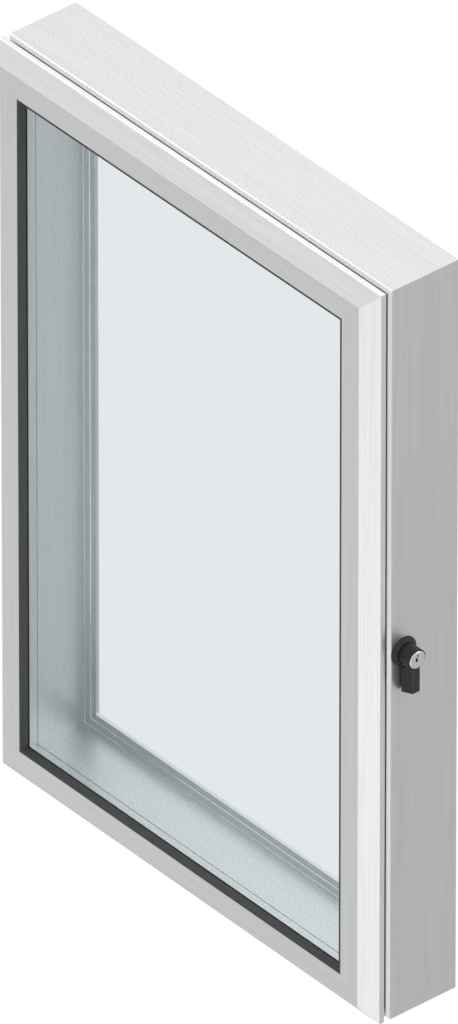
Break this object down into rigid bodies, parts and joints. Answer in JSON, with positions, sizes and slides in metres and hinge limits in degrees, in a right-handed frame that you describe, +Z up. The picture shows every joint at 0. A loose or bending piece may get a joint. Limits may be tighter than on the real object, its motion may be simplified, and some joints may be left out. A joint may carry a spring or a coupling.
{
  "type": "aluminium window",
  "caption": "Upright aluminium window: deep hollow frame with a rear fixing flange, bevelled glazed sash on its front, and a lever lock with a key cylinder in its side.",
  "frame": {"origin": "middle of the bottom edge of the rear mounting face, in the plane that meets the wall", "axes": "+X to the right as seen from the front, +Y to the rear into the wall, +Z up"},
  "size_m": [0.4162, 0.0772, 0.6],
  "materials": {
    "aluminium": "natural anodised, finely brushed along each member",
    "black_rubber": "matt black",
    "grey_rubber": "matt grey foam",
    "glass": "clear, faintly green",
    "lock_black": "satin black, lightly textured",
    "plug_nickel": "satin nickel",
    "steel": "zinc-plated"
  },
  "bodies": {
    "window": {"frame_bottom": "aluminium", "sash_bottom": "aluminium", "glazing_bead_bottom": "aluminium", "glazing_seal_bottom": "black_rubber", "closing_gasket_bottom": "grey_rubber", "frame_right": "aluminium", "sash_right": "aluminium", "glazing_bead_right": "aluminium", "glazing_seal_right": "black_rubber", "closing_gasket_right": "grey_rubber", "frame_top": "aluminium", "sash_top": "aluminium", "glazing_bead_top": "aluminium", "glazing_seal_top": "black_rubber", "closing_gasket_top": "grey_rubber", "frame_left": "aluminium", "sash_left": "aluminium", "glazing_bead_left": "aluminium", "glazing_seal_left": "black_rubber", "closing_gasket_left": "grey_rubber", "lower_hinge_frame_knuckles": "steel", "lower_hinge_sash_knuckle": "steel", "lower_hinge_pin": "steel", "upper_hinge_frame_knuckles": "steel", "upper_hinge_sash_knuckle": "steel", "upper_hinge_pin": "steel", "glass_pane": "glass", "lock_body": "lock_black", "lock_nut": "steel", "sash_keeper": "steel"},
    "lock": {"lock_lever": "lock_black", "lock_plug": "plug_nickel", "lock_cam": "steel"}
  },
  "joints": [
    {"name": "lock_turn", "type": "hinge", "parent": "window", "child": "lock", "pos_m": [0.2, -0.0473, 0.3012], "axis": [1, 0, 0], "range_deg": [0, 90]}
  ]
}
